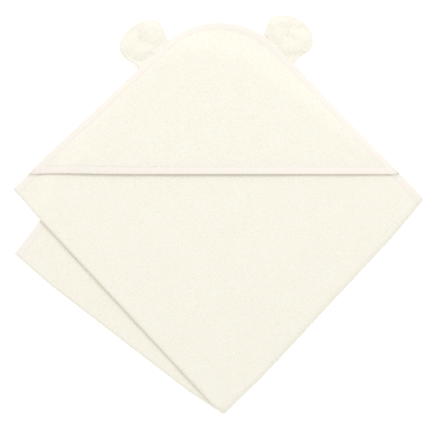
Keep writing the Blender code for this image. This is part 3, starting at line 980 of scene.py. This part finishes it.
# %% [markdown]
# ## Care label
#
# A blank woven label is caught in the hem, between the front half's two layers. It shows only when the
# layers are parted.

# %% Label
LABEL_RUN = 0.150
LABEL_WIDTH = 0.025
LABEL_LENGTH = 0.045
LABEL_THICKNESS = 0.0003
LABEL_STEP = 0.0025
label_top = FRONT_FOLD - TAPE_WIDTH - TOUCH
label = flat_grid(
    "care_label_cloth",
    (LABEL_RUN, label_top - LABEL_LENGTH),
    (LABEL_RUN + LABEL_WIDTH, label_top),
    (LABEL_STEP, LABEL_STEP),
)
keep_flat(label)
plan = to_row(FRONT, points_of(label)[:, :2])
move_points(label, lie(plan, MIDDLE + BEND_LEVEL, True))
thicken(label, LABEL_THICKNESS)
finish_cloth(label, satin)

# %% [markdown]
# ## Ears
#
# Each ear is two pieces of terry sewn round, turned and stuffed, with a tuck sewn through it. A cloth
# simulation with pressure inside blows up a thin pillow of that outline. Its rim, its base and the tuck
# are held, and the cloth is cut a twentieth too large, so the faces swell between them and pucker round
# the tuck as stuffed cloth does. The wadding is the same shape a little smaller, and the thread of the
# tuck lies in the dimple. The outlines below are in millimetres, from the middle of the ear's base.

# %% Ear sizes
EARS = {
    "left": {
        "outline": (
            (26.0, -1.0), (25.6, 4.0), (26.4, 9.5), (29.4, 16.0), (31.3, 23.0), (30.2, 30.2),
            (25.4, 36.2), (17.9, 41.0), (8.9, 44.2), (-0.6, 45.8), (-10.4, 45.2), (-20.0, 41.8),
            (-27.2, 35.0), (-29.0, 26.8), (-27.8, 18.0), (-25.4, 11.3), (-25.0, 4.4), (-26.0, -1.0),
        ),
        "tuck": ((2.5, 33.5), (-1.8, 24.1)),
    },
    "right": {
        "outline": (
            (27.0, -1.0), (28.6, 3.0), (32.0, 8.2), (34.6, 14.2), (34.6, 20.8), (31.4, 27.4),
            (26.4, 33.6), (19.6, 38.9), (11.3, 42.6), (3.2, 43.9), (-5.5, 44.2), (-12.5, 42.8),
            (-19.2, 38.5), (-25.0, 31.8), (-26.0, 24.0), (-24.4, 17.4), (-23.2, 10.8), (-23.4, 4.0),
            (-24.6, -1.0),
        ),
        "tuck": ((10.0, 25.4), (3.6, 15.6)),
    },
}
EAR_MIDDLE = np.array([1.0, 21.0, 0.0]) / 1000
EAR_FLAT = 0.0034
EAR_VOXEL = 0.0019
EAR_SKIN = 0.0008
EAR_EASE = 0.05
EAR_CAP = 0.0062
FILLING_SHARE = 0.93
AXIS_OUT = 0.0065
HELD_RUN = 0.0008
SWELL_FRAMES = 20


def ear_frame(side):
    """The ear's own axes: the middle of its base, along the hem to the top, outwards, and the level."""
    joint = JOINTS[f"{side}_ear_flop"]
    along = unit(np.array(joint["axis"][:2]))
    along = along if along[1] > 0 else -along
    outwards = left_of(along) if side == "left" else -left_of(along)
    base = np.array(joint["pos_m"][:2]) - outwards * AXIS_OUT
    return base, along, outwards, joint["pos_m"][2]


def ear_edge(outline, count):
    """The outline as evenly spaced points, with its corners rounded off."""
    corners = np.array(outline + outline[:1]) / 1000
    steps = np.concatenate([[0], np.cumsum(np.linalg.norm(np.diff(corners, axis=0), axis=1))])
    runs = np.linspace(0, steps[-1], count, endpoint=False)
    edge = np.column_stack([np.interp(runs, steps, corners[:, k]) for k in (0, 1)])
    for _ in range(3):
        edge = (np.roll(edge, 1, axis=0) + 2 * edge + np.roll(edge, -1, axis=0)) / 4
    return edge


# %% Stuffed ears
def swell(obj, edge, tuck):
    """Blows up a thin pillow with a cloth simulation, held at its rim, base and tuck."""
    before = points_of(obj)
    plan = before[:, :2]
    rim, crease = distance_to(plan, np.vstack([edge, edge[:1]])), distance_to(plan, tuck)
    held = 1 - np.minimum(smooth((rim - HELD_RUN) / 0.0010), smooth((crease - HELD_RUN) / HELD_RUN))
    group = obj.vertex_groups.new(name="held")
    for index, weight in enumerate(np.where(plan[:, 1] < 0.001, 1.0, held)):
        group.add([index], float(weight), "REPLACE")
    cloth = obj.modifiers.new("stuffing", "CLOTH")
    cloth.settings.quality = 6
    cloth.settings.mass = 0.1
    cloth.settings.tension_stiffness = 6
    cloth.settings.compression_stiffness = 6
    cloth.settings.shear_stiffness = 3
    cloth.settings.bending_stiffness = 0.3
    cloth.settings.use_pressure = True
    cloth.settings.uniform_pressure_force = 30
    cloth.settings.shrink_min = -EAR_EASE
    cloth.settings.vertex_group_mass = "held"
    cloth.settings.effector_weights.gravity = 0
    for frame_number in range(1, SWELL_FRAMES + 1):
        bpy.context.scene.frame_set(frame_number)
    bpy.ops.object.select_all(action="DESELECT")
    obj.select_set(True)
    bpy.context.view_layer.objects.active = obj
    bpy.ops.object.modifier_apply(modifier="stuffing")
    bpy.context.scene.frame_set(1)
    moved = points_of(obj) - before
    size = np.linalg.norm(moved, axis=1)[:, None]
    move_points(obj, before + moved * np.minimum(1, EAR_CAP / np.maximum(size, 1e-9)))
    print(obj.name, "swelled", round(float(size.max()) * 1000, 1), "mm")


def make_pillow(side):
    """The ear in its own frame: a slab of its outline, remeshed and swelled."""
    edge = ear_edge(EARS[side]["outline"], 120)
    bpy.ops.object.select_all(action="DESELECT")
    bpy.ops.mesh.primitive_circle_add(vertices=len(edge), radius=0.03, fill_type="NGON")
    pillow = bpy.context.object
    pillow.name = pillow.data.name = f"{side}_ear_cover"
    move_points(pillow, np.column_stack([edge[::-1], np.full(len(edge), -EAR_FLAT / 2)]))
    bpy.ops.object.mode_set(mode="EDIT")
    bpy.ops.mesh.select_all(action="SELECT")
    bpy.ops.mesh.extrude_region_move(TRANSFORM_OT_translate={"value": (0, 0, EAR_FLAT)})
    bpy.ops.mesh.select_all(action="SELECT")
    bpy.ops.mesh.normals_make_consistent(inside=False)
    bpy.ops.object.mode_set(mode="OBJECT")
    pillow.data.remesh_voxel_size = EAR_VOXEL
    bpy.ops.object.voxel_remesh()
    swell(pillow, edge, np.array(EARS[side]["tuck"]) / 1000)
    return pillow


def seat_ear(obj, side):
    """From the ear's own frame to the row frame."""
    base, along, outwards, level = ear_frame(side)
    flat = points_of(obj)
    plan = base + flat[:, :1] * along + flat[:, 1:2] * outwards
    move_points(obj, np.column_stack([plan, level + flat[:, 2]]))
    if np.cross([*along, 0], [*outwards, 0])[2] < 0:
        obj.data.flip_normals()


def make_ear(side):
    pillow = make_pillow(side)
    filling = bpy.data.objects.new(f"{side}_ear_stuffing", pillow.data.copy())
    bpy.context.scene.collection.objects.link(filling)
    inner = EAR_MIDDLE + (points_of(pillow) - EAR_MIDDLE) * [FILLING_SHARE, FILLING_SHARE, 1]
    half = np.abs(inner[:, 2])
    inner[:, 2] = np.sign(inner[:, 2]) * np.maximum(half - EAR_SKIN - TOUCH, half / 5)
    move_points(filling, inner)
    for piece, material, name in ((pillow, terry, "terry"), (filling, wadding, "wadding")):
        seat_ear(piece, side)
        piece.vertex_groups.clear()
        finish_cloth(piece, material)
    smoother = pillow.modifiers.new("smooth", "SUBSURF")
    smoother.levels = smoother.render_levels = 1
    skin = pillow.modifiers.new("skin", "SOLIDIFY")
    skin.thickness = EAR_SKIN
    skin.offset = -1
    return pillow, filling


ears = {side: make_ear(side) for side in EARS}


# %% Tuck threads
TUCK_PROUD = 0.0002
STRAND_RADIUS = 0.00045
BAR_RADIUS = 0.0007
BAR_STRETCH = (5.2, 1, 0.8)


def make_tuck(side):
    """The thread of the tuck: a short bar on each face, and the strand that joins them."""
    (x0, y0), (x1, y1) = np.array(EARS[side]["tuck"]) / 1000
    middle = np.array([(x0 + x1) / 2, (y0 + y1) / 2])
    angle = np.arctan2(y1 - y0, x1 - x0)
    face = EAR_FLAT / 2 + TUCK_PROUD
    bpy.ops.object.select_all(action="DESELECT")
    bpy.ops.mesh.primitive_cylinder_add(vertices=10, radius=STRAND_RADIUS, depth=2 * face)
    strand = bpy.context.object
    for up in (-face, face):
        bpy.ops.mesh.primitive_uv_sphere_add(
            segments=12, ring_count=8, radius=BAR_RADIUS, location=(0, 0, up)
        )
        bar = bpy.context.object
        bpy.ops.object.mode_set(mode="EDIT")
        bpy.ops.transform.resize(value=BAR_STRETCH, center_override=(0, 0, up))
        bpy.ops.object.mode_set(mode="OBJECT")
        bpy.ops.object.transform_apply(location=True)
        bar.select_set(True)
        strand.select_set(True)
        bpy.context.view_layer.objects.active = strand
        bpy.ops.object.join()
        bpy.ops.object.select_all(action="DESELECT")
    strand.name = strand.data.name = f"{side}_ear_tuck_thread"
    flat = points_of(strand)
    move_points(strand, np.column_stack([turned(flat[:, :2], angle) + middle, flat[:, 2]]))
    seat_ear(strand, side)
    finish_cloth(strand, thread)
    return strand


tucks = {side: make_tuck(side) for side in EARS}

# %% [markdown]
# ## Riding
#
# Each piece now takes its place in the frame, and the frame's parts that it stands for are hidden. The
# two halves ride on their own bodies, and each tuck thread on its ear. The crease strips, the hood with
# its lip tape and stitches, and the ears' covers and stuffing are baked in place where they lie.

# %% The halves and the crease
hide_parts("front_panel")
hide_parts("back_panel")
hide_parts("front_edge_binding", "front_inner_binding")
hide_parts("back_edge_binding", "back_inner_binding")
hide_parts("front_edge_stitch", "front_inner_stitch")
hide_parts("back_edge_stitch", "back_inner_stitch")
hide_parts("care_label")
for piece in (terry_front, tape_front, stitches_front, label):
    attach(piece, "front_half")
for piece in (terry_back, tape_back, stitches_back):
    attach(piece, "back_half")
for piece, level in (
    (crease_outer, OUTER_LEVEL),
    (crease_tape_outer, OUTER_LEVEL),
    (crease_inner, INNER_LEVEL),
    (crease_tape_inner, INNER_LEVEL),
):
    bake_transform(piece)

# %% The hood and the ears
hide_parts("hood_panel")
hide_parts("hood_lip_binding")
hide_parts("hood_lip_stitch")
for piece in (terry_hood, lip_tape, stitches_lip):
    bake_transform(piece)
for side, (cover, filling) in ears.items():
    base, along, outwards, level = ear_frame(side)
    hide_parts(f"{side}_ear_front", f"{side}_ear_back")
    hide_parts(f"{side}_ear_wadding")
    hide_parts(f"{side}_ear_tack")
    for piece in (cover, filling):
        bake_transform(piece)
    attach(tucks[side], f"{side}_ear")

# %% [markdown]
# ## Last update
#
# The view layer is brought up to date once more.

# %% Update
bpy.context.view_layer.update()
